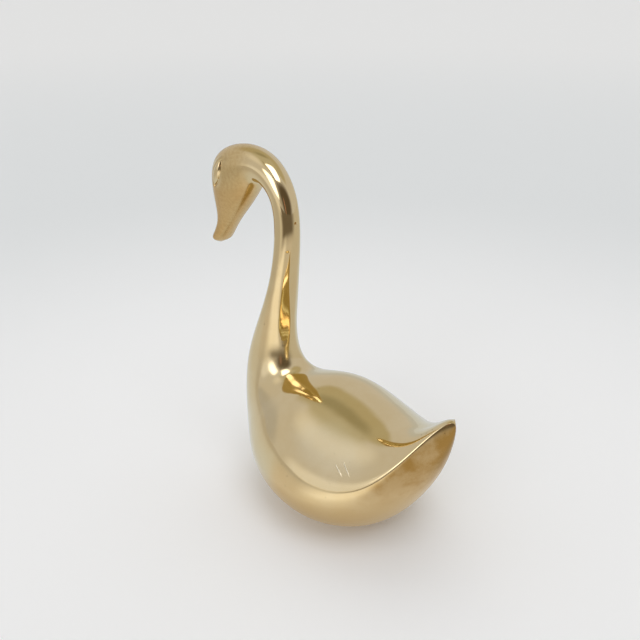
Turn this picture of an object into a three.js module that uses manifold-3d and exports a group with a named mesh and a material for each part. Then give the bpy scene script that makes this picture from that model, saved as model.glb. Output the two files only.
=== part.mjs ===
// A polished brass swan that stands on a felt pad. Its hollow body is a left and a right casting, brazed
// together along the middle. The neck and head are one solid casting, whose spigot seats in a socket between
// the two. Millimetres, +Z up. The swan faces -Y, its left side is +X, and the origin is the middle of the
// felt's underside.

import * as THREE from 'three';
import { NURBSSurface } from 'three/addons/curves/NURBSSurface.js';
import { mergeVertices } from 'three/addons/utils/BufferGeometryUtils.js';
import Module from 'manifold-3d';

const wasm = await Module();
wasm.setup();

// Main sizes. The body runs from the tail's end to the breast, and its height is to the tail's end. The neck's
// thickness is where it is thinnest, and the head's length is from the neck's middle line to the beak's end.
const BODY_LENGTH = 125;
const BODY_WIDTH = 81;
const BODY_HEIGHT = 75;
const NECK_FORWARD = 37;
const NECK_THICKNESS = 12;
const CROWN_HEIGHT = 169.5;
const HEAD_LENGTH = 54;
const HEAD_WIDTH = 20;

// Sizes of the hollow body and of the neck's seat on it. The joint is this far above the body's height.
const WALL = 3;
const NECK_JOINT_RISE = 10;
const SPIGOT_DIAMETER = 7;
const SPIGOT_LENGTH = 14;
const FIT_GAP = 0.3;

// Sizes of the hole that the casting core left in the base, and of the plug and felt that close it
const CORE_HOLE_DIAMETER = 12;
const PLUG_HEAD_DIAMETER = 18;
const PLUG_HEAD_THICKNESS = 1.4;
const FELT_THICKNESS = 1;
const FELT_INSET = 2;

// Sizes of the eyes, ahead of the neck and below the crown, and of the vent pinhole at the back of the neck
const EYE_AHEAD = 39.2;
const EYE_DROP = 14.4;
const EYE_LENGTH = 15;
const EYE_WIDTH = 5.6;
const EYE_LEAN = THREE.MathUtils.degToRad(-24);
const EYE_RISE = 1.1;
const EYE_GROOVE = 0.8;
const VENT_DROP = 31.5;
const VENT_DIAMETER = 1.2;
const VENT_DEPTH = 3;

// Fineness of the surface: rows of facets from one rib to the next, facets round a section and round an eye
const ROWS_PER_RIB = 5;
const FACETS_ROUND = 40;
const EYE_FACETS = 24;

// Cross-sections. Each shoulder and flank is [share of the way from the back line to the belly line, share of
// the half width], the side is where the section is widest, and a high edge weight pulls it into a crease.
const ROUND = {
  shoulder: [(1 - Math.SQRT1_2) / 2, Math.SQRT1_2],
  side: 0.5,
  flank: [(1 + Math.SQRT1_2) / 2, Math.SQRT1_2],
  edge: 1,
};
const TAIL_END = { shoulder: [0.2, 0.62], side: 0.1, flank: [0.75, 0.73], edge: 3 };
const DISHED_TAIL = { shoulder: [-0.2, 0.65], side: 0.15, flank: [0.63, 0.8], edge: 6 };
const RUMP = { shoulder: [0.05, 0.67], side: 0.46, flank: [0.78, 0.9], edge: 3.5 };
const LOIN = { shoulder: [0.15, 0.7], side: 0.53, flank: [0.82, 0.75], edge: 1.6 };
const NECK_ROOT = { shoulder: [0.18, 0.65], side: 0.5, flank: [0.95, 0.64], edge: 1 };
const JAW = { shoulder: ROUND.shoulder, side: 0.5, flank: [0.89, 0.77], edge: 1 };

// A point of the side view, [forward of the base's middle, height above the ground base], from shares of the
// sizes of the body, the neck or the head
function onBody(forward, height) {
  return [forward * BODY_LENGTH, height * BODY_HEIGHT];
}

function onNeck(forward, rise) {
  return [NECK_FORWARD + forward * NECK_THICKNESS, THREE.MathUtils.lerp(BODY_HEIGHT, CROWN_HEIGHT, rise)];
}

function onHead(forward, drop) {
  return [NECK_FORWARD + forward * HEAD_LENGTH, CROWN_HEIGHT - drop * HEAD_LENGTH];
}

// A rib's point on the back line and on the belly line, its half width and its section
function rib(back, belly, halfWidth, section = ROUND) {
  return { back, belly, halfWidth, section };
}

// Ribs from the tail end along the body, up the neck and over the arch to the beak
const RIBS = [
  rib(onBody(-0.52, 0.96), onBody(-0.52, 0.96), 0),
  rib(onBody(-0.5, 1), onBody(-0.528, 0.9), 0.025 * BODY_WIDTH, TAIL_END),
  rib(onBody(-0.436, 0.84), onBody(-0.492, 0.647), 0.16 * BODY_WIDTH, DISHED_TAIL),
  rib(onBody(-0.304, 0.747), onBody(-0.404, 0.353), 0.309 * BODY_WIDTH, RUMP),
  rib(onBody(-0.116, 0.8), onBody(-0.256, 0.007), 0.469 * BODY_WIDTH, LOIN),
  rib(onBody(0.084, 0.887), onBody(0.012, -0.087), 0.524 * BODY_WIDTH),
  rib(onBody(0.228, 0.793), onBody(0.304, 0.013), 0.389 * BODY_WIDTH),
  rib(onBody(0.272, 0.88), onBody(0.484, 0.32), 0.21 * BODY_WIDTH, NECK_ROOT),
  rib(onBody(0.276, 1.073), onBody(0.524, 0.773), 0.136 * BODY_WIDTH, NECK_ROOT),
  rib(onNeck(-0.25, 0.212), onNeck(1.417, 0.122), 0.709 * NECK_THICKNESS),
  rib(onNeck(-0.333, 0.397), onNeck(0.625, 0.365), 0.604 * NECK_THICKNESS),
  rib(onNeck(-0.583, 0.614), onNeck(0.417, 0.619), 0.508 * NECK_THICKNESS),
  rib(onNeck(-0.375, 0.815), onNeck(0.583, 0.772), 0.525 * NECK_THICKNESS),
  rib(onHead(0.139, 0.056), onHead(0.269, 0.296), 0.37 * HEAD_WIDTH),
  rib(onHead(0.491, -0.037), onHead(0.333, 0.306), 0.46 * HEAD_WIDTH),
  rib(onHead(0.907, 0.093), onHead(0.389, 0.389), 0.54 * HEAD_WIDTH, JAW),
  rib(onHead(0.954, 0.417), onHead(0.546, 0.593), 0.425 * HEAD_WIDTH, JAW),
  rib(onHead(0.861, 0.741), onHead(0.704, 0.769), 0.27 * HEAD_WIDTH),
  rib(onHead(0.981, 0.917), onHead(0.833, 0.954), 0.31 * HEAD_WIDTH),
  rib(onHead(0.991, 0.954), onHead(0.852, 0.963), 0.275 * HEAD_WIDTH),
  rib(onHead(0.935, 1), onHead(0.935, 1), 0),
];

// The cavity runs between these ribs, short of the thin tail and of the neck
const CAVITY_FIRST_RIB = 2.9;
const CAVITY_LAST_RIB = 8.5;

// A ring of eight control points this much larger than a circle draws that circle as a cubic surface
const CAGE_SCALE = 3 / (2 + Math.SQRT1_2);
const CUBIC = 3;
const RING_POINTS = 8;

// Larger than the figure each way, for the blocks that trim it
const BLOCK = 400;

// The axis that cylinders are made along
const UP = new THREE.Vector3(0, 1, 0);

// Turns a distance to the left, forward and up into a point of the model
function place(left, forward, up) {
  return new THREE.Vector3(left, -forward, up);
}

// The eight weighted control points of a rib whose outline is drawn in by a wall's thickness
function ring({ back: backPoint, belly: bellyPoint, halfWidth, section }, inset) {
  const back = new THREE.Vector2(...backPoint);
  const belly = new THREE.Vector2(...bellyPoint);
  const inward = belly.clone().sub(back).normalize().multiplyScalar(inset);
  back.add(inward);
  belly.sub(inward);
  const middle = back.clone().lerp(belly, 0.5);
  const reachOfSide = Math.max(halfWidth - inset, 0) * CAGE_SCALE;
  const { shoulder, side, flank, edge } = section;

  const point = (share, reach, weight = 1) => {
    const onLine = back.clone().lerp(belly, share).sub(middle).multiplyScalar(CAGE_SCALE).add(middle);
    const at = place(reach * reachOfSide, onLine.x, onLine.y);
    return new THREE.Vector4(at.x, at.y, at.z, weight);
  };

  return [
    point(0, 0),
    point(shoulder[0], shoulder[1]),
    point(side, 1, edge),
    point(flank[0], flank[1]),
    point(1, 0),
    point(flank[0], -flank[1]),
    point(side, -1, edge),
    point(shoulder[0], -shoulder[1]),
  ];
}

// The smooth skin over the ribs, as a function of the station, which is a rib's number or between two of them,
// and of the share of a turn round the section
function skinOver(ribs, inset) {
  const spans = ribs.length - CUBIC;
  const ends = new Array(CUBIC).fill(0);
  const alongKnots = [...ends, ...Array.from({ length: spans + 1 }, (_, i) => i), ...ends.map(() => spans)];
  const roundKnots = Array.from({ length: RING_POINTS + 2 * CUBIC + 1 }, (_, i) => i);
  const cage = ribs.map((each) => {
    const points = ring(each, inset);
    return Array.from({ length: RING_POINTS + CUBIC }, (_, i) => points[(i + RING_POINTS - 1) % RING_POINTS]);
  });
  const surface = new NURBSSurface(CUBIC, CUBIC, alongKnots, roundKnots, cage);

  return (station, turn) => {
    const target = new THREE.Vector3();
    const along = (station - 1) / spans;
    const round = (CUBIC + turn * RING_POINTS) / (roundKnots.length - 1);
    surface.getPoint(THREE.MathUtils.clamp(along, 0, 1), round, target);
    return target;
  };
}

// A closed manifold solid from any closed geometry, without the triangles that shrink to nothing at a pole
function solidOf(geometry) {
  geometry.deleteAttribute('normal');
  geometry.deleteAttribute('uv');
  const merged = mergeVertices(geometry, 1e-5);
  const index = merged.index.array;
  const triangles = [];
  for (let i = 0; i < index.length; i += 3) {
    const [a, b, c] = index.subarray(i, i + 3);
    if (a !== b && b !== c && c !== a) triangles.push(a, b, c);
  }
  return new wasm.Manifold(new wasm.Mesh({
    numProp: 3,
    vertProperties: new Float32Array(merged.attributes.position.array),
    triVerts: new Uint32Array(triangles),
  }));
}

// A solid from rings of points that all run the same way round. It is closed by a flat fan at each end, or from
// the last ring back to the first where it is looped.
function solidFromRings(rings, looped = false) {
  const count = rings[0].length;
  const positions = rings.flat();
  const index = [];
  const last = rings.length - 1;
  for (let i = 0; i < count; i += 1) {
    const next = (i + 1) % count;
    for (let row = 0; row < (looped ? rings.length : last); row += 1) {
      const near = row * count;
      const far = ((row + 1) % rings.length) * count;
      index.push(near + i, far + next, near + next, near + i, far + i, far + next);
    }
    if (!looped) {
      index.push(positions.length, i, next);
      index.push(positions.length + 1, last * count + next, last * count + i);
    }
  }
  const middleOf = (points) => points.reduce((sum, p) => sum.add(p), new THREE.Vector3()).divideScalar(count);
  if (!looped) positions.push(middleOf(rings[0]), middleOf(rings[last]));
  const geometry = new THREE.BufferGeometry().setFromPoints(positions);
  geometry.setIndex(index);
  return solidOf(geometry);
}

// The solid inside a skin from one station to another
function loft(skin, from, to) {
  const rows = Math.round((to - from) * ROWS_PER_RIB);
  return solidFromRings(Array.from({ length: rows + 1 }, (_, row) => {
    const station = THREE.MathUtils.lerp(from, to, row / rows);
    return Array.from({ length: FACETS_ROUND }, (__, facet) => skin(station, facet / FACETS_ROUND));
  }));
}

// A rectangular block between two heights, ahead of, behind or beside given planes where those are stated
function block({ bottom = -BLOCK, top = BLOCK, rear = -BLOCK, left = BLOCK, right = -BLOCK }) {
  const low = place(right, BLOCK, bottom);
  const high = place(left, rear, top);
  const geometry = new THREE.BoxGeometry(high.x - low.x, high.y - low.y, high.z - low.z);
  const middle = low.clone().lerp(high, 0.5);
  geometry.translate(middle.x, middle.y, middle.z);
  return solidOf(geometry);
}

// A round pin or hole between two points
function pin(diameter, from, to) {
  const axis = to.clone().sub(from);
  const geometry = new THREE.CylinderGeometry(diameter / 2, diameter / 2, axis.length(), FACETS_ROUND);
  geometry.applyQuaternion(new THREE.Quaternion().setFromUnitVectors(UP, axis.normalize()));
  const middle = from.clone().lerp(to, 0.5);
  geometry.translate(middle.x, middle.y, middle.z);
  return solidOf(geometry);
}

// An upright pin or hole on the middle of the base
function basePin(diameter, bottom, top) {
  return pin(diameter, place(0, 0, bottom), place(0, 0, top));
}

// How far a solid's cut face at a height reaches: its half width, and its middle and half length fore and aft
function cutFace(solid, height) {
  const { vertProperties, numProp } = solid.getMesh();
  const face = new THREE.Box3();
  for (let i = 0; i < vertProperties.length; i += numProp) {
    const vertex = new THREE.Vector3(...vertProperties.subarray(i, i + 3));
    if (Math.abs(vertex.z - height) < 1e-3) face.expandByPoint(vertex);
  }
  const middle = face.getCenter(new THREE.Vector3());
  const size = face.getSize(new THREE.Vector3());
  return { middle: -middle.y, halfLength: size.y / 2, halfWidth: size.x / 2 };
}

// The skin's point at a station and turn, with its slopes along and round the figure and the way out of the metal
function spotOn(skin, station, turn) {
  const step = 0.01;
  const along = skin(station + step, turn).sub(skin(station - step, turn)).divideScalar(2 * step);
  const round = skin(station, turn + step).sub(skin(station, turn - step)).divideScalar(2 * step);
  const outward = along.clone().cross(round).normalize();
  return { station, turn, point: skin(station, turn), along, round, outward };
}

// The spot on the skin beside a place on the side view, within some turns
function onSkin(skin, forward, height, turns) {
  const wanted = place(0, forward, height);
  let best = null;
  for (let station = 1; station <= RIBS.length - 2; station += 0.01) {
    for (const turn of turns) {
      const point = skin(station, turn);
      const distance = Math.hypot(point.y - wanted.y, point.z - wanted.z);
      if (!best || distance < best.distance) best = { station, turn, distance };
    }
  }
  return spotOn(skin, best.station, best.turn);
}

// The spot this far to the rear of another and above it on the side view, in a few steps over the skin
function besideSpot(skin, start, rear, up) {
  let spot = start;
  for (let steps = 0; steps < 5; steps += 1) {
    const { along, round, point } = spot;
    const y = start.point.y + rear - point.y;
    const z = start.point.z + up - point.z;
    const spread = along.z * round.y - along.y * round.z;
    const station = spot.station + (z * round.y - y * round.z) / spread;
    spot = spotOn(skin, station, spot.turn + (y * along.z - z * along.y) / spread);
  }
  return spot;
}

// The eyes: a low bulb in an almond groove that follows the skin, on each side of the head
function carveEyes(head, skin) {
  const sideTurns = Array.from({ length: FACETS_ROUND }, (_, i) => 0.1 + (0.3 * i) / FACETS_ROUND);
  const seat = onSkin(skin, NECK_FORWARD + EYE_AHEAD, CROWN_HEIGHT - EYE_DROP, sideTurns);

  // An almond this share of the eye's size, lifted off the skin. It runs round from its top towards the rear.
  const almond = (share, lift) => Array.from({ length: EYE_FACETS }, (_, i) => {
    const angle = (2 * Math.PI * i) / EYE_FACETS;
    const up = (share * Math.cos(angle) * EYE_LENGTH) / 2;
    const back = (share * Math.sin(angle) * Math.abs(Math.sin(angle)) * EYE_WIDTH) / 2;
    const y = back * Math.cos(EYE_LEAN) - up * Math.sin(EYE_LEAN);
    const z = up * Math.cos(EYE_LEAN) + back * Math.sin(EYE_LEAN);
    return besideSpot(skin, seat, y, z).point.addScaledVector(seat.outward, lift);
  });

  const edge = EYE_GROOVE / EYE_WIDTH;
  const groove = [almond(1 + edge, EYE_RISE), almond(1 - edge, EYE_RISE), almond(1, -EYE_GROOVE)];
  const bulb = [
    almond(1 - edge, -EYE_GROOVE),
    almond(1 - edge, 0),
    almond(0.7, 0.6 * EYE_RISE),
    almond(0.4, 0.9 * EYE_RISE),
    almond(0.1, EYE_RISE),
  ];
  const mirrored = (rings) => rings.map((points) => points.map((p) => place(-p.x, -p.y, p.z)).reverse());
  return head
    .subtract(solidFromRings(groove, true))
    .subtract(solidFromRings(mirrored(groove), true))
    .add(solidFromRings(bulb))
    .add(solidFromRings(mirrored(bulb)));
}

// The pinhole that let gas out of the neck's mould, square to the back line
function drillVent(neck, skin) {
  const { point, outward } = onSkin(skin, NECK_FORWARD - NECK_THICKNESS / 2, CROWN_HEIGHT - VENT_DROP, [0]);
  const reach = outward.multiplyScalar(VENT_DEPTH);
  return neck.subtract(pin(VENT_DIAMETER, point.clone().sub(reach), point.clone().add(reach)));
}

// A mesh for a solid, named as its piece
function mesh(name, solid, material) {
  const { vertProperties, triVerts } = solid.getMesh();
  const geometry = new THREE.BufferGeometry();
  geometry.setAttribute('position', new THREE.BufferAttribute(new Float32Array(vertProperties), 3));
  geometry.setIndex(new THREE.BufferAttribute(new Uint32Array(triVerts), 1));
  geometry.computeVertexNormals();
  const piece = new THREE.Mesh(geometry, material);
  piece.name = name;
  return piece;
}

function brass(roughness) {
  return new THREE.MeshStandardMaterial({ color: '#cdb07a', metalness: 1, roughness });
}

function wool() {
  return new THREE.MeshStandardMaterial({ color: '#2f3b2f', metalness: 0, roughness: 0.95 });
}

const outside = skinOver(RIBS, 0);
const inside = skinOver(RIBS, WALL);
const figure = loft(outside, 1, RIBS.length - 2).intersect(block({ bottom: 0 }));
const jointHeight = BODY_HEIGHT + NECK_JOINT_RISE;
const aboveJoint = block({ bottom: jointHeight, rear: 0 });

// The neck and head, with a spigot that follows the neck's lean down into the body
const neckStem = figure.intersect(aboveJoint);
const spigotFoot = jointHeight - SPIGOT_LENGTH;
const jointMiddle = place(0, cutFace(neckStem, jointHeight).middle, jointHeight);
const belowNeck = figure.intersect(block({ bottom: spigotFoot, rear: 0 }));
const footMiddle = place(0, cutFace(belowNeck, spigotFoot).middle, spigotFoot);
const downNeck = footMiddle.clone().sub(jointMiddle).normalize();
const aboveSpigot = jointMiddle.clone().addScaledVector(downNeck, -WALL);
const spigot = pin(SPIGOT_DIAMETER, footMiddle, aboveSpigot);
const neckAndHead = drillVent(carveEyes(neckStem, outside), outside).add(spigot);

// The body: hollow, with a socket for the spigot and a stepped hole for the plug, parted along the middle
const socketFoot = footMiddle.clone().addScaledVector(downNeck, FIT_GAP);
const cavity = loft(inside, CAVITY_FIRST_RIB, CAVITY_LAST_RIB)
  .intersect(block({ bottom: WALL, top: spigotFoot - SPIGOT_DIAMETER / 2 - WALL }));
const body = figure
  .subtract(aboveJoint)
  .subtract(cavity)
  .subtract(pin(SPIGOT_DIAMETER + 2 * FIT_GAP, socketFoot, aboveSpigot))
  .subtract(basePin(CORE_HOLE_DIAMETER, -WALL, 2 * WALL))
  .subtract(basePin(PLUG_HEAD_DIAMETER, -WALL, PLUG_HEAD_THICKNESS));
const bodyLeft = body.intersect(block({ right: 0 }));
const bodyRight = body.intersect(block({ left: 0 }));

// The plug: a head that lies against the step of its hole, and a shank that fills the hole
const basePlug = basePin(PLUG_HEAD_DIAMETER - 2 * FIT_GAP, 0, PLUG_HEAD_THICKNESS)
  .add(basePin(CORE_HOLE_DIAMETER - 2 * FIT_GAP, PLUG_HEAD_THICKNESS / 2, WALL));

// The felt: an oval just inside the edge of the ground base
function feltPad() {
  const base = cutFace(figure, 0);
  const outline = new THREE.Shape();
  const across = base.halfWidth - FELT_INSET;
  const along = base.halfLength - FELT_INSET;
  outline.absellipse(0, -base.middle, across, along, 0, 2 * Math.PI);
  const geometry = new THREE.ExtrudeGeometry(outline, {
    depth: FELT_THICKNESS,
    bevelEnabled: false,
    curveSegments: FACETS_ROUND / 2,
  });
  return solidOf(geometry);
}

const castings = new THREE.Group();
castings.position.z = FELT_THICKNESS;
castings.add(
  mesh('body_left_shell', bodyLeft, brass(0.2)),
  mesh('body_right_shell', bodyRight, brass(0.2)),
  mesh('neck_and_head', neckAndHead, brass(0.18)),
  mesh('base_plug', basePlug, brass(0.45)),
);

const swan = new THREE.Group();
swan.name = 'brass_swan';
swan.add(castings, mesh('base_felt_pad', feltPad(), wool()));

export default swan;
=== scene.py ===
"""The looks of a polished brass swan that stands on a felt pad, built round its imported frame.

The swan's sizes are in millimetres, and the studio's distances are in metres, as Blender's units are.
"""

import logging
import math
from dataclasses import dataclass, field
from enum import Enum
from typing import Any, Callable

import bmesh
import bpy
import numpy as np
from mathutils import Matrix, Vector


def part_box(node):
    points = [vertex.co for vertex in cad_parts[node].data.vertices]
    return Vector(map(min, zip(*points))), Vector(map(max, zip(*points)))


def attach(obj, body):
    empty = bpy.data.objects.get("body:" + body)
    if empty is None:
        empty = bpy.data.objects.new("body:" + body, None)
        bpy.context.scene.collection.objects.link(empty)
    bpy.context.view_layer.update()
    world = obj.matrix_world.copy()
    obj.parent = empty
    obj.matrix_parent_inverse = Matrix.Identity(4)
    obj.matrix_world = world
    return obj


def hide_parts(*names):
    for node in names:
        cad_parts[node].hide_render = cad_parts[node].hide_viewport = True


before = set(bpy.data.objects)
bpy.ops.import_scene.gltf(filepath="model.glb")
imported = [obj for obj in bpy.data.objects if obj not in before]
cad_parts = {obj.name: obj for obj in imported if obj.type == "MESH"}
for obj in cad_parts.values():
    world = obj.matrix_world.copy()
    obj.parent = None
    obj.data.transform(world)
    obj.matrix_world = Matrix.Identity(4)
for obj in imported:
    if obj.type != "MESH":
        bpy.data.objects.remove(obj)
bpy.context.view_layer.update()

MM = 0.001
FELT_THICKNESS = 1.0

# A ring of eight control points this much larger than a circle draws that circle as a cubic surface
CAGE_SCALE = 3 / (2 + math.sqrt(0.5))

# Blender's wave texture counts this many radians for each unit of its place
WAVE_RATE = 20

log = logging.getLogger("swan")

Pair = tuple[float, float]
Triple = tuple[float, float, float]
Piece = bpy.types.Object
Material = bpy.types.Material
Socket = bpy.types.NodeSocket
Array = np.ndarray


def linear(colour: str, level: float = 1.0) -> tuple[float, float, float, float]:
    """Turns an sRGB hex colour into linear light.

    Args:
        colour: Six hex digits after a hash.
        level: What the light is multiplied by.

    Returns:
        Red, green, blue and an alpha of one.
    """
    parts = [int(colour[i : i + 2], 16) / 255 for i in (1, 3, 5)]
    red, green, blue = (c / 12.92 if c <= 0.04045 else ((c + 0.055) / 1.055) ** 2.4 for c in parts)
    return red * level, green * level, blue * level, 1.0


def metres(ends: Pair) -> Pair:
    """Two distances in metres, from millimetres."""
    return ends[0] * MM, ends[1] * MM


class Tree:
    """A node tree, with short names for the nodes that the finishes and the studio use most."""

    def __init__(self, tree: bpy.types.NodeTree) -> None:
        """Takes a tree over and empties it."""
        self.tree = tree
        tree.nodes.clear()

    def node(self, kind: str, inputs: dict[Any, Any] | None = None, **settings: Any) -> bpy.types.Node:
        """Adds a node with its settings and its inputs.

        Args:
            kind: The node's type name.
            inputs: A value, or a socket to link from, for each input's name or number.
            **settings: The node's own properties.

        Returns:
            The node.
        """
        node = self.tree.nodes.new(kind)
        for name, value in settings.items():
            setattr(node, name, value)
        for name, value in (inputs or {}).items():
            if isinstance(value, Socket):
                self.tree.links.new(value, node.inputs[name])
            else:
                node.inputs[name].default_value = value
        return node

    def end(self, shader: bpy.types.Node, kind: str = "ShaderNodeOutputMaterial") -> None:
        """Links the last shader to the tree's output."""
        self.node(kind, {0: shader.outputs[0]})

    def place(self) -> Socket:
        """The place on the object, in metres."""
        return self.node("ShaderNodeTexCoord").outputs["Object"]

    def maths(self, operation: str, *values: Any, clamp: bool = False) -> Socket:
        """The outcome of one sum on numbers."""
        inputs = dict(enumerate(values))
        return self.node("ShaderNodeMath", inputs, operation=operation, use_clamp=clamp).outputs[0]

    def share(self, operation: str, *values: Any) -> Socket:
        """The outcome of one sum on numbers, kept between nought and one."""
        return self.maths(operation, *values, clamp=True)

    def product(self, first: Any, *others: Any) -> Socket:
        """The product of shares."""
        for other in others:
            first = self.share("MULTIPLY", first, other)
        return first

    def vector(self, operation: str, *values: Any) -> Socket:
        """The outcome of one sum on vectors, which is a number for a length or a dot product."""
        outputs = self.node("ShaderNodeVectorMath", dict(enumerate(values)), operation=operation).outputs
        return outputs["Value" if operation in ("LENGTH", "DOT_PRODUCT") else "Vector"]

    def axis(self, vector: Any, name: str) -> Socket:
        """One of a vector's numbers, by its axis."""
        return self.node("ShaderNodeSeparateXYZ", {0: vector}).outputs[name]

    def local(self, vector: Any, size: Any, middle: Any = (0, 0, 0), turn: Any = (0, 0, 0)) -> Socket:
        """A vector as measured from a middle, by a turn in Euler angles and the size that counts as one."""
        inputs = {"Vector": vector, "Location": middle, "Rotation": turn, "Scale": size}
        return self.node("ShaderNodeMapping", inputs, vector_type="TEXTURE").outputs[0]

    def ramp(self, value: Any, ends: Pair, levels: Pair = (0.0, 1.0), smooth: bool = True) -> Socket:
        """A rise or fall from one level to another as a value goes from one end to the other."""
        inputs = dict(zip(("Value", "From Min", "From Max", "To Min", "To Max"), (value, *ends, *levels)))
        shape = "SMOOTHSTEP" if smooth else "LINEAR"
        return self.node("ShaderNodeMapRange", inputs, interpolation_type=shape).outputs[0]

    def mix(self, share: Any, below: Any, above: Any) -> Socket:
        """One colour laid over another by a share."""
        return self.node("ShaderNodeMix", {0: share, 6: below, 7: above}, data_type="RGBA").outputs[2]

    def blend(self, share: Any, first: bpy.types.Node, second: bpy.types.Node) -> bpy.types.Node:
        """One shader that goes over into another by a share."""
        return self.node("ShaderNodeMixShader", {0: share, 1: first.outputs[0], 2: second.outputs[0]})

    def noise(self, place: Any, size: float, detail: float, rough: float = 0.6, twist: float = 0.0) -> Socket:
        """Cloudy noise whose blotches are about size millimetres across."""
        inputs = {"Vector": place, "Scale": 1 / (size * MM), "Detail": detail, "Roughness": rough}
        return self.node("ShaderNodeTexNoise", {**inputs, "Distortion": twist}).outputs[0]

    def bump(self, height: Any, depth: float, strength: float = 1.0, below: Socket | None = None) -> Socket:
        """A relief of a depth in millimetres, laid over another one where that is given."""
        inputs = {"Height": height, "Strength": strength, "Distance": depth * MM}
        if below is not None:
            inputs["Normal"] = below
        return self.node("ShaderNodeBump", inputs).outputs[0]


def new_material(name: str) -> tuple[Material, Tree]:
    """Starts a material with an empty node tree."""
    material = bpy.data.materials.new(name)
    material.use_nodes = True
    return material, Tree(material.node_tree)


def add_object(name: str, data: Any) -> Piece:
    """Adds an object with its data to the scene."""
    thing = bpy.data.objects.new(name, data)
    bpy.context.scene.collection.objects.link(thing)
    return thing


def begin_edit(piece: Piece) -> None:
    """Opens one piece in edit mode with nothing else selected."""
    bpy.ops.object.select_all(action="DESELECT")
    bpy.context.view_layer.objects.active = piece
    piece.select_set(True)
    bpy.ops.object.mode_set(mode="EDIT")


def end_edit() -> None:
    """Goes back to object mode with nothing selected."""
    bpy.ops.object.mode_set(mode="OBJECT")
    bpy.ops.object.select_all(action="DESELECT")


def edit_faces(piece: Piece, wanted: Callable[[bmesh.types.BMFace], bool]) -> None:
    """Opens one piece in edit mode with only the wanted faces selected."""
    begin_edit(piece)
    bpy.ops.mesh.select_mode(type="FACE")
    bpy.ops.mesh.select_all(action="DESELECT")
    mesh = bmesh.from_edit_mesh(piece.data)
    for face in mesh.faces:
        face.select_set(wanted(face))
    bmesh.update_edit_mesh(piece.data)


def soften_edges(piece: Piece, width: float, segments: int, smooth_below: float) -> None:
    """Rounds a piece's sharp edges, and smooths its shading where faces meet below an angle in degrees."""
    bevel = piece.modifiers.new("softened_edge", "BEVEL")
    bevel.width = width * MM
    bevel.segments = segments
    bevel.limit_method = "ANGLE"
    bpy.context.view_layer.objects.active = piece
    bpy.ops.object.modifier_apply(modifier=bevel.name)
    piece.select_set(True)
    bpy.ops.object.shade_smooth_by_angle(angle=math.radians(smooth_below))


def direction(azimuth: float, elevation: float) -> Vector:
    """The way to a place round the swan.

    Args:
        azimuth: Degrees from the camera's side, positive to the right of the picture.
        elevation: Degrees above the horizon.

    Returns:
        A unit vector in the row frame.
    """
    turn = math.radians(PhotoCamera.azimuth + azimuth)
    rise = math.radians(elevation)
    return Vector((math.cos(turn) * math.cos(rise), math.sin(turn) * math.cos(rise), math.sin(rise)))


# The casting's drawing


@dataclass(frozen=True)
class Section:
    """A cross-section: shares of the way from back to belly and of the half width.

    The side is where it is widest, and a high edge weight pulls it into a crease there.
    """

    shoulder: Pair
    side: float
    flank: Pair
    edge: float


ROUND_SHOULDER = ((1 - math.sqrt(0.5)) / 2, math.sqrt(0.5))


class Sections(Enum):
    """The cross-sections along the figure."""

    ROUND = Section(ROUND_SHOULDER, 0.5, ((1 + math.sqrt(0.5)) / 2, math.sqrt(0.5)), 1)
    TAIL_END = Section((0.2, 0.62), 0.1, (0.75, 0.73), 3)
    DISHED_TAIL = Section((-0.2, 0.65), 0.15, (0.63, 0.8), 6)
    RUMP = Section((0.05, 0.67), 0.46, (0.78, 0.9), 3.5)
    LOIN = Section((0.15, 0.7), 0.53, (0.82, 0.75), 1.6)
    NECK_ROOT = Section((0.18, 0.65), 0.5, (0.95, 0.64), 1)
    JAW = Section(ROUND_SHOULDER, 0.5, (0.89, 0.77), 1)


@dataclass(frozen=True)
class Rib:
    """One rib: its points on the back and belly lines, forward and height, its half width and its section."""

    back: Pair
    belly: Pair
    half_width: float
    section: Sections = Sections.ROUND


RIBS = (
    Rib((-65, 72), (-65, 72), 0),
    Rib((-62.5, 75), (-66, 67.5), 2, Sections.TAIL_END),
    Rib((-54.5, 63), (-61.5, 48.5), 13, Sections.DISHED_TAIL),
    Rib((-38, 56), (-50.5, 26.5), 25, Sections.RUMP),
    Rib((-14.5, 60), (-32, 0.5), 38, Sections.LOIN),
    Rib((10.5, 66.5), (1.5, -6.5), 42.5),
    Rib((28.5, 59.5), (38, 1), 31.5),
    Rib((34, 66), (60.5, 24), 17, Sections.NECK_ROOT),
    Rib((35, 80.3), (64.8, 58.4), 11.7, Sections.NECK_ROOT),
    Rib((35.25, 94.5), (52.5, 87), 10),
    Rib((33.2, 112.3), (44.2, 109.6), 7.7),
    Rib((30, 133), (42, 133.5), 6.1),
    Rib((32.5, 152), (44, 148), 6.3),
    Rib((44.5, 166.5), (51.5, 153.5), 7.4),
    Rib((63.5, 171.5), (55, 153), 9.2),
    Rib((86, 164.5), (58, 148.5), 10.8, Sections.JAW),
    Rib((88.5, 147), (66.5, 137.5), 8.5, Sections.JAW),
    Rib((83.5, 129.5), (75, 128), 5.4),
    Rib((90, 120), (82, 118), 6.2),
    Rib((90.5, 118), (83, 117.5), 5.5),
    Rib((87.5, 115.5), (87.5, 115.5), 0),
)


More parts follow.
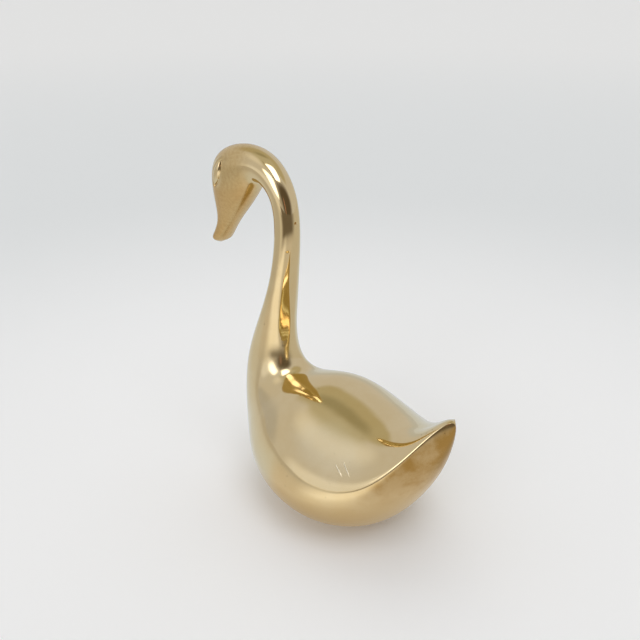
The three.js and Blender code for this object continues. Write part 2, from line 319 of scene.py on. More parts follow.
@dataclass
class Skin:
    """The smooth skin over the ribs, as a cubic surface along the figure and round its section."""

    ribs: tuple[Rib, ...] = RIBS
    reliefs: list["Relief"] = field(default_factory=list)
    bare_step: float = 0.01
    fine_step: float = 0.002

    def __post_init__(self) -> None:
        """Lays out the weighted control points."""
        cage = np.zeros((len(self.ribs), 8, 4))
        for row, rib in enumerate(self.ribs):
            back, belly = np.array(rib.back, float), np.array(rib.belly, float)
            middle = (back + belly) / 2
            form = rib.section.value
            ring = [(0, 0, 1), (*form.shoulder, 1), (form.side, 1, form.edge), (*form.flank, 1), (1, 0, 1)]
            ring += [(share, -reach, weight) for share, reach, weight in ring[3:0:-1]]
            for column, (share, reach, weight) in enumerate(ring):
                forward, height = middle + (back + (belly - back) * share - middle) * CAGE_SCALE
                point = (reach * rib.half_width * CAGE_SCALE, -forward, height + FELT_THICKNESS)
                cage[row, column] = (*(weight * c for c in point), weight)
        self.cage = cage
        self.spans = len(self.ribs) - 3

    def _along(self, station: Array) -> Array:
        """Weights of the ribs at stations along the figure, by the clamped cubic rule."""
        count = len(self.ribs)
        knots = np.concatenate([[0] * 3, np.arange(self.spans + 1), [self.spans] * 3]).astype(float)
        at = np.clip(station, 0, self.spans - 1e-9)
        basis = np.zeros((len(at), count + 3))
        basis[np.arange(len(at)), np.floor(at).astype(int) + 3] = 1
        for degree in (1, 2, 3):
            raised = np.zeros_like(basis)
            for i in range(count + 3 - degree):
                rise, fall = knots[i + degree] - knots[i], knots[i + degree + 1] - knots[i + 1]
                if rise > 0:
                    raised[:, i] += (at - knots[i]) / rise * basis[:, i]
                if fall > 0:
                    raised[:, i] += (knots[i + degree + 1] - at) / fall * basis[:, i + 1]
            basis = raised
        return basis[:, :count]

    def _round(self, turn: Array) -> Array:
        """Weights of the eight points round a section at shares of a turn from the back line."""
        at = np.mod(turn, 1) * 8
        first = np.floor(at).astype(int)
        t = at - first
        parts = ((1 - t) ** 3, 3 * t**3 - 6 * t**2 + 4, -3 * t**3 + 3 * t**2 + 3 * t + 1, t**3)
        weights = np.zeros((len(at), 8))
        for step, part in enumerate(parts):
            np.add.at(weights, (np.arange(len(at)), (first - 1 + step) % 8), part / 6)
        return weights

    def bare(self, station: Array, turn: Array) -> Array:
        """Points on the skin without its relief.

        Args:
            station: Places along the figure, from 0 at the tail's tip to the spans' number at the beak's end.
            turn: Shares of a turn round the section, from the back line towards the swan's left.

        Returns:
            One row of x, y and z in millimetres for each place.
        """
        mixed = np.einsum("nr,rck->nck", self._along(station), self.cage)
        points = np.einsum("nck,nc->nk", mixed, self._round(turn))
        return points[:, :3] / points[:, 3:]

    @staticmethod
    def _outward(surface: Callable, station: Array, turn: Array, step: float) -> Array:
        """Unit normals of a surface by small steps to either side of each place."""
        along = surface(station + step, turn) - surface(station - step, turn)
        across = surface(station, turn + step / 8) - surface(station, turn - step / 8)
        normals = np.cross(along, across)
        return normals / np.maximum(np.linalg.norm(normals, axis=1, keepdims=True), 1e-12)

    def bare_normals(self, station: Array, turn: Array) -> Array:
        """Unit normals of the skin without its relief."""
        return self._outward(self.bare, station, turn, self.bare_step)

    def points(self, station: Array, turn: Array) -> Array:
        """Points on the finished skin, with its relief, in millimetres."""
        bare = self.bare(station, turn)
        raised = sum(relief.height(bare) for relief in self.reliefs)
        touched = np.abs(raised) > 1e-6
        if touched.any():
            outward = self.bare_normals(station[touched], turn[touched])
            bare[touched] += outward * raised[touched, None]
        return bare

    def normals(self, station: Array, turn: Array) -> Array:
        """Unit normals of the finished skin."""
        return self._outward(self.points, station, turn, self.fine_step)


@dataclass(frozen=True)
class Relief:
    """Something raised from or sunk into the skin."""

    def height(self, points: Array) -> Array:
        """How far each point of the skin is raised, in millimetres."""
        raise NotImplementedError


@dataclass(frozen=True)
class EyeRelief(Relief):
    """An almond eye on each side of the head: a bulb inside a groove, with a soft lid round it."""

    forward: float = 76.2
    height_up: float = 155.1
    out: float = 9.4
    length: float = 15.0
    width: float = 5.6
    lean: float = -24.0
    rise: float = 1.1
    bulb_spread: Pair = (1.15, 1.1)
    bulb_inset: float = 0.3
    bulb_softness: float = 0.4
    groove: float = 0.75
    groove_width: float = 0.5
    lid: float = 0.12
    lid_out: float = 1.3
    lid_width: float = 0.7

    def height(self, points: Array) -> Array:
        """The groove's depth and the rise of the bulb and the lid at each point."""
        left = np.abs(points[:, 0])
        ahead = -points[:, 1] - self.forward
        up = points[:, 2] - FELT_THICKNESS - self.height_up
        near = (np.abs(ahead) < self.length) & (np.abs(up) < self.length) & (left > self.out * 0.3)
        lean = math.radians(self.lean)
        along = up * math.cos(lean) + ahead * math.sin(lean)
        across = ahead * math.cos(lean) - up * math.sin(lean)
        half, beam = self.length / 2, self.width / 2
        radius = (half**2 + beam**2) / (2 * beam)
        inside = np.hypot(np.abs(across) + radius - beam, along) - radius
        wide, long = self.bulb_spread
        dome = np.maximum(1 - (across / (wide * beam)) ** 2 - (along / (long * half)) ** 2, 0)
        bulb = self.rise * dome * (1 - np.exp(np.minimum(inside + self.bulb_inset, 0) / self.bulb_softness))
        groove = -self.groove * np.exp(-((inside / self.groove_width) ** 2))
        lid = self.lid * np.exp(-(((inside - self.lid_out) / self.lid_width) ** 2))
        return np.where(near, bulb + groove + lid, 0)


@dataclass(frozen=True)
class Pinhole(Relief):
    """A round hole of a given depth in the skin, whose wall's brim and slope are shares of its radius."""

    place: Triple
    diameter: float
    depth: float
    brim: float = 1.15
    slope: float = 0.4

    def height(self, points: Array) -> Array:
        """The hole's depth at each point."""
        distance = np.linalg.norm(points - np.array(self.place), axis=1) / (self.diameter / 2)
        wall = np.clip((self.brim - distance) / self.slope, 0, 1)
        return -self.depth * wall * wall * (3 - 2 * wall)


@dataclass(frozen=True)
class FiledFlat(Relief):
    """A long flat filed down the back of the neck on the swan's left, where its foundry dressed a seam.

    Its lowest, deepest and highest places are stations of the skin. Above the deepest it swings away from the
    back line and fades, and below it the file runs out.
    """

    skin: Skin
    lowest: float = 6.3
    deepest: float = 7.6
    highest: float = 9.6
    turn: float = 0.05
    swing: float = 0.055
    swing_power: float = 1.6
    depth: float = 0.48
    depth_power: float = 1.3
    runout: float = 0.55
    runout_power: int = 3
    reach: float = 8.0
    softness: float = 0.06
    steps: int = 24

    def _stops(self) -> Array:
        """Rows of height, middle forward and left, normal forward and left, and depth, up along the flat."""
        station = np.linspace(self.lowest, self.highest, self.steps)
        climb = np.clip((station - self.deepest) / (self.highest - self.deepest), 0, 1)
        turn = self.turn + self.swing * climb**self.swing_power
        middle, outward = self.skin.bare(station, turn), self.skin.bare_normals(station, turn)
        run = np.clip(self.deepest - station, 0, None)
        depth = self.depth * (1 - climb) ** self.depth_power - self.runout * run**self.runout_power
        return np.stack((middle[:, 2], -middle[:, 1], middle[:, 0], -outward[:, 1], outward[:, 0], depth))

    def height(self, points: Array) -> Array:
        """How far the file went in at each point."""
        up, stops = points[:, 2], self._stops()
        forward, left, ahead, aside, depth = (np.interp(up, stops[0], row) for row in stops[1:])
        from_middle = -points[:, 1] - forward, points[:, 0] - left
        over = (from_middle[0] * ahead + from_middle[1] * aside) / np.hypot(ahead, aside) + depth
        near = (np.hypot(*from_middle) < self.reach) & (up > stops[0, 0]) & (up < stops[0, -1])
        near &= over > -4 * self.softness
        return np.where(near, -self.softness * np.logaddexp(0, over / self.softness), 0)


# Finishes


@dataclass(frozen=True)
class Spot:
    """A soft oval spot, by its middle and its reach in millimetres."""

    middle: Triple
    reach: Triple

    def share(self, tree: Tree, place: Any) -> Socket:
        """One near the spot's middle and nought at its reach."""
        near = tree.local(place, Vector(self.reach) * MM, Vector(self.middle) * MM)
        return tree.ramp(tree.vector("LENGTH", near), (1.0, 0.3))


@dataclass(frozen=True)
class Scratch:
    """A scratch between two places on the body, drawn as wide as it needs to be to show."""

    start: Triple
    end: Triple
    width: float = 0.3
    depth: float = 4.0
    body_middle: float = 30.0

    def share(self, tree: Tree, place: Any) -> Socket:
        """One in the scratch and nought beside it."""
        along = Vector(self.end) - Vector(self.start)
        middle = (Vector(self.start) + Vector(self.end)) / 2
        across = along.cross(Vector((middle.x, 0, middle.z - self.body_middle))).normalized()
        inwards = across.cross(along).normalized()
        turn = Matrix((across, inwards, along.normalized())).transposed().to_euler()
        near = tree.local(place, Vector((self.width, self.depth, along.length / 2)) * MM, middle * MM, turn)
        return tree.ramp(tree.vector("LENGTH", near), (1.0, 0.6))


@dataclass(frozen=True)
class WearAndShade:
    """Where each kind of wear and painted shade lies on the brass, as shares between nought and one."""

    head: Socket
    jowl_shade: Socket
    rump: Socket
    belly: Socket
    duller_gold: Socket
    grainy: Socket
    rubbed: Socket
    scuffs: Socket
    pits: Socket


@dataclass(frozen=True)
class PolishedBrass:
    """Cast yellow brass, ground and buffed by hand: pale gold that mirrors the room softly.

    The buffing left the skin gently wavy. The head has gone a duller gold with age, and its lower part is
    painted darker still as shade on its underside. The rump is tarnished in blotches and painted darker as
    shade where it faces down, and the belly is a duller, darker gold where it faces down near the base. The
    flank is rubbed pale by handling, and scratches and casting pits show here and there. Brass has no
    separate specular, so the colour is the metal's own. Pairs are where a kind of wear or painted shade
    starts and is full.
    """

    metal: str = "#E7D3AA"
    duller_gold: str = "#DFC592"
    jowl_shade: str = "#D8B47B"
    # painted shade: the lower part of the head in a darker gold
    tarnish_and_shade: str = "#B89354"
    # tarnish, and painted shade on the rump where it faces down
    scuffed: str = "#ECE3CC"
    pit: str = "#3A2A12"
    roughness: float = 0.085
    blotch: float = 14.0
    speck: float = 2.2
    grain: float = 1.6
    patch: float = 10.0
    wave: float = 16.0
    file_mark: float = 11.0
    head_behind: Pair = (-50, -64)
    head_height: Pair = (100, 112)
    jowl_height: Pair = (157, 145)
    rump_behind: Pair = (30, 50)
    rump_height: Pair = (24, 50)
    rump_facing: Pair = (0.42, 0.0)
    belly_height: Pair = (40, 10)
    belly_facing: Pair = (0.25, -0.2)
    eye: Spot = Spot((9.4, 76.2, 156.1), (6.0, 7.0, 10.5))
    rubbed: Spot = Spot((27.0, 19.0, 52.0), (17.0, 28.0, 17.0))
    root: Spot = Spot((8.0, -38.0, 68.0), (16.0, 16.0, 14.0))
    neck_back: Spot = Spot((3.0, -35.0, 92.0), (14.0, 12.0, 34.0))
    saddle: Spot = Spot((8.0, -14.0, 62.0), (18.0, 26.0, 12.0))
    scratches: tuple[Scratch, ...] = (
        Scratch((26.7, 25.7, 49.3), (29.5, 32.8, 44.5)),
        Scratch((29.6, 24.8, 46.7), (30.4, 27.6, 45.0)),
        Scratch((33, 5, 40), (31, 12, 45)),
        Scratch((34, -4, 36), (34, 3, 33)),
        Scratch((25, 40, 44), (21, 45, 47)),
        Scratch((-31, 24, 45), (-28, 33, 47)),
        Scratch((-34, 2, 38), (-33, 11, 36)),
    )

    def _wear_and_shade(self, tree: Tree, place: Socket) -> WearAndShade:
        """Finds where each kind of wear and painted shade lies."""
        behind, height = tree.axis(place, "Y"), tree.axis(place, "Z")
        facing = tree.axis(tree.node("ShaderNodeNewGeometry").outputs["Normal"], "Z")
        mottle = tree.ramp(tree.noise(place, self.blotch, 6.0), (0.36, 0.62))

        head = tree.product(
            tree.ramp(behind, metres(self.head_behind)), tree.ramp(height, metres(self.head_height))
        )
        head = tree.share("SUBTRACT", head, self.eye.share(tree, tree.vector("ABSOLUTE", place)))
        # The rump's mottled tarnish, painted darker as shade where it faces down
        rump = tree.product(
            tree.ramp(behind, metres(self.rump_behind)),
            tree.ramp(facing, self.rump_facing),
            tree.ramp(height, metres(self.rump_height)),
            tree.ramp(mottle, (0.0, 1.0), (0.55, 1.0), smooth=False),
        )
        # A duller, darker gold low on the belly where it faces down
        belly = tree.product(
            tree.ramp(height, metres(self.belly_height), (0.0, 0.7)), tree.ramp(facing, self.belly_facing)
        )
        grain = tree.ramp(tree.noise(place, self.grain, 4.0), (0.35, 0.7))
        patchy = tree.ramp(tree.noise(place, self.patch, 2.0), (0.18, 0.82))
        patchy = tree.share("MULTIPLY_ADD", patchy, 0.3, 0.6)
        scuffs: Any = 0.0
        for scratch in self.scratches:
            scuffs = tree.share("MAXIMUM", scuffs, scratch.share(tree, place))
        specks = tree.noise(place, self.speck, 3.0)
        return WearAndShade(
            head=head,
            # painted shade: the head's lower part, below the jowl's height, is darker
            jowl_shade=tree.product(head, tree.ramp(height, metres(self.jowl_height), (0.0, 0.8))),
            rump=rump,
            belly=belly,
            duller_gold=tree.share("ADD", tree.share("MAXIMUM", head, belly), tree.product(mottle, 0.25)),
            grainy=tree.product(grain, head, 0.24),
            rubbed=tree.product(self.rubbed.share(tree, place), patchy),
            scuffs=scuffs,
            pits=tree.product(tree.ramp(specks, (0.725, 0.76)), 0.7),
        )

    def _colour(self, tree: Tree, wear: WearAndShade) -> Any:
        """Lays the colour of each kind of wear and painted shade over the clean metal."""
        colour: Any = linear(self.metal)
        for share, other in (
            (wear.duller_gold, self.duller_gold),
            # painted shade under the head
            (wear.jowl_shade, self.jowl_shade),
            # tarnish with painted shade on the rump's underside
            (wear.rump, self.tarnish_and_shade),
            (wear.grainy, self.tarnish_and_shade),
            (tree.product(wear.rubbed, 0.5), self.scuffed),
            (tree.product(wear.scuffs, 0.9), self.scuffed),
            (wear.pits, self.pit),
        ):
            colour = tree.mix(share, colour, linear(other))
        return colour

    def _roughness(self, tree: Tree, place: Socket, wear: WearAndShade) -> Any:
        """Adds what each kind of wear takes from the gloss."""
        rough: Any = self.roughness
        for share, more in (
            (wear.rubbed, 0.17),
            (wear.scuffs, 0.1),
            (self.root.share(tree, place), 0.11),
            (wear.rump, 0.16),
            (wear.head, 0.14),
            (wear.grainy, 0.1),
            (wear.belly, 0.16),
        ):
            rough = tree.share("ADD", rough, tree.product(share, more))
        return rough

    def _relief(self, tree: Tree, place: Socket, wear: WearAndShade) -> Socket | None:
        """Makes the skin wavy, and rougher where it was filed, is grainy or is scratched."""
        waves = tree.noise(place, self.wave, 1.5)
        hand_filed = tree.share("ADD", self.neck_back.share(tree, place), self.saddle.share(tree, place))
        filed = tree.product(tree.noise(place, self.file_mark, 0.4), hand_filed)
        relief: Socket | None = None
        for height, depth in ((waves, 0.16), (filed, 0.35), (wear.grainy, 0.06), (wear.scuffs, 0.08)):
            relief = tree.bump(height, depth, below=relief)
        return relief

    def material(self) -> Material:
        """Builds the finish."""
        material, tree = new_material("hand_polished_cast_brass")
        place = tree.place()
        wear = self._wear_and_shade(tree, place)
        inputs = {
            "Base Color": self._colour(tree, wear),
            "Metallic": 1.0,
            "Roughness": self._roughness(tree, place, wear),
            "Normal": self._relief(tree, place, wear),
        }
        tree.end(tree.node("ShaderNodeBsdfPrincipled", inputs))
        return material


@dataclass(frozen=True)
class TurnedBrass:
    """Yellow brass bar turned on a lathe: rings round its axis and a duller gold than the casting.

    A ring's width is for one radian of the wave that draws the rings.
    """

    metal: str = "#C9A665"
    roughness: float = 0.34
    ring: float = 0.35
    ring_depth: float = 0.02

    def material(self) -> Material:
        """Builds the finish."""
        material, tree = new_material("lathe_turned_brass")
        rings = tree.node(
            "ShaderNodeTexWave",
            {"Vector": tree.place(), "Scale": 1 / (self.ring * MM) / WAVE_RATE, "Distortion": 0.4},
            wave_type="RINGS",
            rings_direction="Z",
        ).outputs[1]
        bump = tree.bump(rings, self.ring_depth, 0.3)
        inputs = {"Base Color": linear(self.metal), "Metallic": 1.0, "Roughness": self.roughness}
        tree.end(tree.node("ShaderNodeBsdfPrincipled", {**inputs, "Normal": bump}))
        return material


@dataclass(frozen=True)
class WoolFelt:
    """Pressed wool felt, dyed dark green: tufts of 0.6 mm, with a soft sheen and no gloss."""

    dye: str = "#2F3B2F"
    worn: str = "#49564A"
    roughness: float = 0.95
    sheen: float = 0.3
    tuft: float = 0.6
    tuft_depth: float = 0.2
    dyed_until: float = 0.35
    worn_from: float = 0.7

    def material(self) -> Material:
        """Builds the finish."""
        material, tree = new_material("pressed_wool_felt")
        tufts = tree.noise(tree.place(), self.tuft, 6.0, rough=0.7, twist=1.5)
        colour = tree.node("ShaderNodeValToRGB", {0: tufts})
        stops = (self.dyed_until, self.dye), (self.worn_from, self.worn)
        for element, (position, shade) in zip(colour.color_ramp.elements, stops):
            element.position = position
            element.color = linear(shade)
        bump = tree.bump(tufts, self.tuft_depth, 0.8)
        inputs = {"Base Color": colour.outputs[0], "Roughness": self.roughness, "Sheen Weight": self.sheen}
        tree.end(tree.node("ShaderNodeBsdfPrincipled", {**inputs, "Normal": bump}))
        return material


# The pieces


@dataclass
class BrassCasting:
    """The body's two shells and the neck with its head, shaped as one skin and then parted."""

    facets: int = 48
    rows_per_rib: int = 5
    fine_cuts: int = 3
    joint_height: float = 85.0
    skin: Skin = field(default_factory=Skin)

    def _loft(self) -> Piece:
        """Draws rings out from the tail's tip to the beak's end, then puts every point on the skin."""
        bpy.ops.mesh.primitive_circle_add(vertices=self.facets, radius=10 * MM)
        whole = bpy.context.object
        whole.name = "casting"
        turns = np.arange(self.facets) / self.facets * 2 * np.pi
        for name, values in (("station", turns * 0), ("sine", np.sin(turns)), ("cosine", np.cos(turns))):
            layer = whole.data.attributes.new(name, "FLOAT", "POINT")
            layer.data.foreach_set("value", values.astype(np.float32))
        begin_edit(whole)
        bpy.ops.mesh.select_mode(type="EDGE")
        bpy.ops.mesh.select_all(action="SELECT")
        rows = self.skin.spans * self.rows_per_rib
        for row in range(1, rows + 1):
            bpy.ops.mesh.extrude_edges_indiv()
            bpy.ops.transform.translate(value=(0, 0, MM))
            mesh = bmesh.from_edit_mesh(whole.data)
            station = mesh.verts.layers.float["station"]
            for vertex in mesh.verts:
                if vertex.select:
                    vertex[station] = row / self.rows_per_rib
        bpy.ops.mesh.select_all(action="SELECT")
        bpy.ops.mesh.subdivide(number_cuts=self.fine_cuts)
        end_edit()
        self._settle(whole)
        return whole

    def _stations(self, piece: Piece) -> tuple[Array, Array]:
        """The place on the skin that each vertex stands for."""
        found = []
        for name in ("station", "sine", "cosine"):
            values = np.zeros(len(piece.data.vertices), np.float32)
            piece.data.attributes[name].data.foreach_get("value", values)
            found.append(values.astype(float))
        station, sine, cosine = found
        return station, np.mod(np.arctan2(sine, cosine) / (2 * np.pi), 1)

    def _settle(self, piece: Piece) -> None:
        """Puts each vertex on the finished skin."""
        points = self.skin.points(*self._stations(piece)) * MM
        piece.data.vertices.foreach_set("co", points.astype(np.float32).ravel())
        piece.data.update()

    def _refine(self, whole: Piece, place: Triple, reach: float, cuts: int) -> None:
        """Subdivides the faces near a place, on both sides of the swan, and settles them again."""
        centre = Vector(place) * MM

        def near(face: bmesh.types.BMFace) -> bool:
            middle = face.calc_center_median()
            middle.x = abs(middle.x)
            return (middle - centre).length < reach * MM

        edit_faces(whole, near)
        bpy.ops.mesh.subdivide(number_cuts=cuts)
        end_edit()
        self._settle(whole)

    def _remember_normals(self, whole: Piece) -> None:
        """Keeps the skin's own normals on the vertices, so that the seams don't show once it is parted."""
        normals = self.skin.normals(*self._stations(whole))
        layer = whole.data.attributes.new("outward", "FLOAT_VECTOR", "POINT")
        layer.data.foreach_set("vector", normals.astype(np.float32).ravel())

    @staticmethod
    def _part(piece: Piece, place: Triple, normal: Triple, keep_beyond: bool) -> None:
        """Cuts a piece on a plane, closes the cut and keeps one side of it."""
        begin_edit(piece)
        bpy.ops.mesh.select_all(action="SELECT")
        bpy.ops.mesh.bisect(
            plane_co=Vector(place) * MM,
            plane_no=normal,
            use_fill=True,
            clear_inner=keep_beyond,
            clear_outer=not keep_beyond,
            threshold=1e-7,
        )
        end_edit()

    @staticmethod
    def _finish_normals(piece: Piece, cuts: list[tuple[Triple, Triple]]) -> None:
        """Gives the skin its remembered normals and each cut face its own flat one."""
        mesh = piece.data
        outward = np.zeros(len(mesh.vertices) * 3, np.float32)
        mesh.attributes["outward"].data.foreach_get("vector", outward)
        outward = outward.reshape(-1, 3)
        outward /= np.maximum(np.linalg.norm(outward, axis=1, keepdims=True), 1e-9)
        wanted = outward[[loop.vertex_index for loop in mesh.loops]]
        for face in mesh.polygons:
            for place, normal in cuts:
                away = (face.center - Vector(place) * MM).dot(Vector(normal))
                if abs(away) < 1e-6 and abs(face.normal.dot(Vector(normal))) > 0.999:
                    wanted[list(face.loop_indices)] = face.normal
        mesh.shade_smooth()
        mesh.normals_split_custom_set(wanted.tolist())
        for name in ("station", "sine", "cosine", "outward"):
            mesh.attributes.remove(mesh.attributes[name])

    @staticmethod
    def _copy(piece: Piece, name: str) -> Piece:
        """A copy of a piece with a mesh of its own."""
        copy = add_object(name, piece.data.copy())
        copy.data.name = name
        return copy

    def build(self) -> list[Piece]:
        """Makes the three castings: the left shell, the right shell and the neck with the head."""
        eye = EyeRelief()
        vent = Pinhole(place=(0.0, -31.1, 138.8), diameter=1.2, depth=1.6)
        self.skin.reliefs = [eye, vent, FiledFlat(self.skin)]
        whole = self._loft()
        self._refine(whole, (eye.out, -eye.forward, eye.height_up + FELT_THICKNESS), reach=9.5, cuts=2)
        self._refine(whole, vent.place, reach=1.6, cuts=4)
        begin_edit(whole)
        bpy.ops.mesh.select_all(action="SELECT")
        bpy.ops.mesh.remove_doubles(threshold=0.002 * MM)
        bpy.ops.mesh.normals_make_consistent(inside=False)
        end_edit()
        self._remember_normals(whole)

        base = ((0, 0, FELT_THICKNESS), (0, 0, 1))
        joint = ((0, 0, self.joint_height + FELT_THICKNESS), (0, 0, 1))
        middle = ((0, 0, 0), (1, 0, 0))
        self._part(whole, *base, keep_beyond=True)
        neck = self._copy(whole, "neck_and_head_casting")
        self._part(neck, *joint, keep_beyond=True)
        self._part(whole, *joint, keep_beyond=False)
        left = self._copy(whole, "body_left_casting")
        self._part(left, *middle, keep_beyond=True)
        right = self._copy(whole, "body_right_casting")
        self._part(right, *middle, keep_beyond=False)
        bpy.data.objects.remove(whole)
        for piece in (left, right, neck):
            self._finish_normals(piece, [base, joint, middle])
        return [left, right, neck]

    def dress(self, pieces: list[Piece], brass: Material) -> None:
        """Gives the castings their finish and their places in the frame."""
        for piece, node in zip(pieces, ("body_left_shell", "body_right_shell", "neck_and_head")):
            piece.data.materials.clear()
            piece.data.materials.append(brass)
            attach(piece, "root")
            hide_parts(node)
            log.info("%s: %d faces", piece.name, len(piece.data.polygons))


@dataclass
class BasePlug:
    """The turned plug that closes the core hole in the base."""

    head_thickness: float = 1.4
    shank_diameter: float = 11.4
    chamfer: float = 0.2
    facets: int = 96

    def build(self) -> Piece:
        """Turns the plug: a disc drawn up to its head's thickness, then a narrower shank."""
        low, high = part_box("base_plug")
        radius = (high.x - low.x) / 2
        head = self.head_thickness * MM
        bpy.ops.mesh.primitive_cylinder_add(
            vertices=self.facets,
            radius=radius,
            depth=head,
            location=((low.x + high.x) / 2, (low.y + high.y) / 2, low.z + head / 2),
        )
        plug = bpy.context.object
        plug.name = "base_plug_turned"
        bpy.ops.object.transform_apply(location=True, rotation=True, scale=True)
        edit_faces(plug, lambda face: face.normal.z > 0.9)
        bpy.ops.mesh.inset(thickness=radius - self.shank_diameter * MM / 2)
        bpy.ops.mesh.extrude_region_move(TRANSFORM_OT_translate={"value": (0, 0, high.z - low.z - head)})
        end_edit()
        soften_edges(plug, self.chamfer, segments=2, smooth_below=30)
        return plug

    def dress(self, plug: Piece, brass: Material) -> None:
        """Gives the plug its finish and its place in the frame."""
        plug.data.materials.append(brass)
        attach(plug, "root")
        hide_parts("base_plug")
        log.info("%s: %d faces", plug.name, len(plug.data.polygons))


@dataclass
class FeltPad:
    """The oval of felt under the base, soft at its cut edge."""

    edge: float = 0.25
    facets: int = 128
    rings: int = 4
    ring_width: float = 3.2

    def build(self) -> Piece:
        """Cuts the oval from a disc, parts its flat faces into rings and rounds its edge."""
        low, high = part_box("base_felt_pad")
        centre = (low + high) / 2
        bpy.ops.mesh.primitive_cylinder_add(vertices=self.facets, radius=0.5, depth=1, location=centre)
        pad = bpy.context.object
        pad.name = "felt_pad_cut"
        pad.scale = high - low
        bpy.ops.object.transform_apply(location=True, rotation=True, scale=True)
        edit_faces(pad, lambda face: abs(face.normal.z) > 0.9)
        for _ in range(self.rings):
            bpy.ops.mesh.inset(thickness=self.ring_width * MM)
        end_edit()
        soften_edges(pad, self.edge, segments=3, smooth_below=40)
        return pad

    def dress(self, pad: Piece, felt: Material) -> None:
        """Gives the pad its finish and its place in the frame."""
        pad.data.materials.append(felt)
        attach(pad, "root")
        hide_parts("base_felt_pad")
        log.info("%s: %d faces", pad.name, len(pad.data.polygons))


# The studio


class Outline(Enum):
    """The outline of a patch of light."""

    OVAL = "oval"
    OBLONG = "oblong"


@dataclass(frozen=True)
class Patch:
    """A patch of the room's light, seen from the swan: its middle and half its size in degrees, and its look.

    Its middle is full as far out as the share full, and it has faded away at the share gone.
    """

    azimuth: float
    elevation: float
    across: float
    up: float
    colour: str
    strength: float
    full: float = 0.6
    gone: float = 1.4
    roll: float = 0.0
    outline: Outline = Outline.OVAL
    least_ahead: float = 0.001

    def add(self, tree: Tree, way: Socket, below: Any) -> Socket:
        """Lays the patch over the light so far, by the way looked in, and gives the light with the patch."""
        turn = direction(self.azimuth, self.elevation).to_track_quat("Z", "Y").to_matrix()
        turn = turn @ Matrix.Rotation(math.radians(self.roll), 3, "Z")
        size = math.tan(math.radians(self.across)), math.tan(math.radians(self.up)), 1
        local = tree.local(way, size, turn=turn.to_euler())
        ahead = tree.maths("MAXIMUM", tree.axis(local, "Z"), self.least_ahead)
        flat = tree.vector("MULTIPLY", local, (1, 1, 0))
        if self.outline is Outline.OBLONG:
            out = tree.maths("SQRT", tree.vector("LENGTH", tree.vector("MULTIPLY", flat, flat)))
        else:
            out = tree.vector("LENGTH", flat)
        share = tree.ramp(tree.maths("DIVIDE", out, ahead), (self.gone, self.full))
        light = linear(self.colour, self.strength)[:3]
        return tree.node("ShaderNodeMix", {0: share, 4: below, 5: light}, data_type="VECTOR").outputs[1]


@dataclass(frozen=True)
class FloorSector:
    """A part of the floor to one side of the swan, painted lighter or darker as the light or shade that the
    brass mirrors there.

    It fades between two angles, in degrees to either side of its azimuth, and starts between two distances.
    In the pool it also fades out as the pool of light round the swan does.
    """

    azimuth: float
    fades: Pair
    starts: Pair
    colour: str
    level: float = 1.0
    in_pool: bool = False

    def add(self, tree: Tree, place: Socket, below: Socket, pool: Socket) -> Socket:
        """Lays the sector over the floor's light so far, and gives the light with the sector."""
        ahead = tree.vector("DOT_PRODUCT", place, direction(self.azimuth, 0))
        aside = tree.vector("DOT_PRODUCT", place, direction(self.azimuth + 90, 0))
        angle = tree.maths("ABSOLUTE", tree.maths("ARCTAN2", aside, ahead))
        full, gone = (math.radians(side) for side in self.fades)
        beyond = tree.ramp(tree.vector("LENGTH", place), self.starts)
        share = tree.product(tree.ramp(angle, (gone, full)), beyond)
        if self.in_pool:
            share = tree.product(share, pool)
        return tree.mix(share, below, linear(self.colour, self.level))


